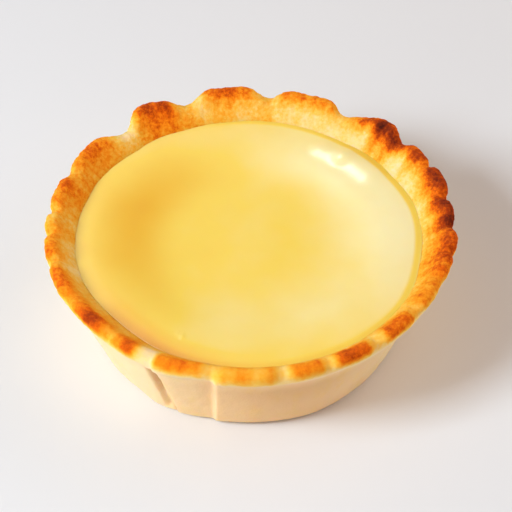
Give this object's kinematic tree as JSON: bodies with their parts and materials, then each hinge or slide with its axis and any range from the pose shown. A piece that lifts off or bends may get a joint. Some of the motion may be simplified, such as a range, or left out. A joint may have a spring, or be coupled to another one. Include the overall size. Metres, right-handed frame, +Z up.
{
  "type": "custard tart",
  "caption": "Small round custard tart: a crimped shortcrust case with a browned, uneven rim and sloping plain wall, filled with smooth set egg custard.",
  "frame": {"origin": "centre of the flat base, on the surface the tart stands on", "axes": "+Z up through the middle of the custard; -Y towards the lapped dough at the front, where the crimps are lowest; +X to the right of that"},
  "size_m": [0.0801, 0.0798, 0.0253],
  "materials": {
    "baked_shortcrust": "matt, finely crumbed, browned along the rim",
    "set_custard": "smooth and softly glossy"
  },
  "bodies": {
    "root": {"pastry_case": "baked_shortcrust", "custard_filling": "set_custard"}
  },
  "joints": []
}
